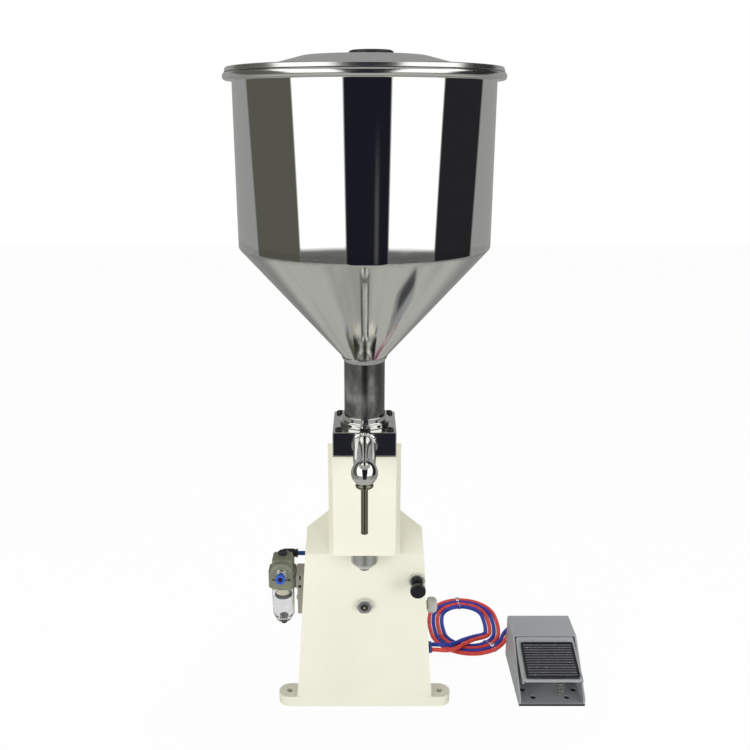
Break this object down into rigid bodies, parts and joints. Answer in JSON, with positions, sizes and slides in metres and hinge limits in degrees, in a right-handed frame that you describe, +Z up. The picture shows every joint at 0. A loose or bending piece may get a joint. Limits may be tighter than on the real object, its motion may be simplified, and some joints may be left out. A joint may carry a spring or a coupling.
{
  "type": "pneumatic filling machine",
  "caption": "Air-driven paste filler: round steel hopper on a cream stand, front nozzle, side filter regulator, and a foot pedal on two hoses.",
  "frame": {"origin": "centre of the stand's underside, on the surface that it stands on", "axes": "+Z up, +X to the right of someone who faces the nozzle, +Y away from them"},
  "size_m": [0.45, 0.4215, 0.8346],
  "materials": {
    "cream_paint": "semi-gloss cream paint",
    "polished_steel": "mirror-polished stainless steel",
    "turned_steel": "turned stainless steel",
    "aluminium": "anodised aluminium",
    "zinc_plate": "zinc-plated steel",
    "black_plastic": "black moulded plastic",
    "black_rubber": "ribbed black rubber",
    "white_plastic": "off-white plastic",
    "khaki_paint": "grey-green die casting",
    "clear_bowl": "clear polycarbonate",
    "ivory_plastic": "ivory plastic",
    "blue_collet": "blue release collet on a plated body",
    "red_hose": "red polyurethane hose",
    "blue_hose": "blue polyurethane hose",
    "grey_paint": "grey painted pressing"
  },
  "bodies": {
    "stand": {"casing": "cream_paint", "rear_cover": "cream_paint", "head_box": "cream_paint", "valve_block": "polished_steel", "union_ring": "polished_steel", "hopper": "polished_steel", "spout_tube": "polished_steel", "spout_elbow": "polished_steel", "block_screw_1": "turned_steel", "block_screw_2": "turned_steel", "block_screw_3": "turned_steel", "block_screw_4": "turned_steel", "inlet_spring": "turned_steel", "outlet_spring": "turned_steel", "nozzle_nut": "turned_steel", "nozzle": "turned_steel", "metering_cylinder": "turned_steel", "gland_collar": "turned_steel", "stud_nut": "turned_steel", "valve_nut": "turned_steel", "pedal_hinge_pin": "turned_steel", "pedal_spring": "turned_steel", "air_cylinder": "aluminium", "pedal_valve": "aluminium", "bottom_plate": "zinc_plate", "cylinder_bracket": "zinc_plate", "regulator_bracket": "zinc_plate", "valve_barrel": "black_plastic", "regulator_elbow": "black_plastic", "hose_port_red": "black_plastic", "hose_port_blue": "black_plastic", "pedal_port_red": "black_plastic", "pedal_port_blue": "black_plastic", "silencer": "white_plastic", "regulator_body": "khaki_paint", "regulator_bowl": "clear_bowl", "filter_element": "ivory_plastic", "regulator_fitting": "blue_collet", "hose_lead_red": "red_hose", "hose_coil_red": "red_hose", "hose_tail_red": "red_hose", "hose_lead_blue": "blue_hose", "hose_coil_blue": "blue_hose", "hose_tail_blue": "blue_hose", "feed_tube": "blue_hose", "pedal_housing": "grey_paint"},
    "lid": {"hopper_lid": "polished_steel", "lid_handle": "black_plastic"},
    "piston": {"metering_piston": "white_plastic", "piston_seal": "black_rubber", "piston_rod": "turned_steel", "crosshead": "turned_steel", "air_rod": "turned_steel"},
    "inlet_check": {"inlet_ball": "turned_steel"},
    "outlet_check": {"outlet_ball": "turned_steel"},
    "push_knob": {"valve_knob": "black_plastic"},
    "pressure_knob": {"regulator_knob": "black_plastic"},
    "treadle": {"pedal_treadle": "grey_paint", "pedal_pad": "black_rubber"},
    "plunger": {"pedal_plunger": "turned_steel"}
  },
  "joints": [
    {"name": "lid_lift", "type": "slide", "parent": "stand", "child": "lid", "axis": [0, 0, 1], "range_m": [0, 0.08]},
    {"name": "piston_stroke", "type": "slide", "parent": "stand", "child": "piston", "axis": [0, 0, -1], "range_m": [0, 0.036]},
    {"name": "inlet_valve", "type": "slide", "parent": "stand", "child": "inlet_check", "axis": [0, 0, -1], "range_m": [0, 0.003], "stiffness_N_per_m": 60, "springref_m": -0.004, "deforming": ["inlet_spring"]},
    {"name": "outlet_valve", "type": "slide", "parent": "stand", "child": "outlet_check", "axis": [0, 0, 1], "range_m": [0, 0.0025], "stiffness_N_per_m": 60, "springref_m": -0.002, "deforming": ["outlet_spring"]},
    {"name": "shut_off_push", "type": "slide", "parent": "stand", "child": "push_knob", "axis": [0, 1, 0], "range_m": [0, 0.005]},
    {"name": "pressure_turn", "type": "hinge", "parent": "stand", "child": "pressure_knob", "pos_m": [-0.1085, -0.0625, 0.2138], "axis": [0, 0, 1], "range_deg": [-180, 180]},
    {"name": "treadle_press", "type": "hinge", "parent": "stand", "child": "treadle", "pos_m": [0.255, -0.0365, 0.055], "axis": [1, 0, 0], "range_deg": [0, 12], "stiffness_Nm_per_rad": 0.6, "springref_deg": -17.19, "deforming": ["pedal_spring"]},
    {"name": "plunger_press", "type": "slide", "parent": "stand", "child": "plunger", "axis": [0, 0, -1], "range_m": [0, 0.0038]}
  ],
  "couplings": [
    {"joint": "plunger_press", "follows": "treadle_press", "m_per_rad": 0.01814}
  ]
}
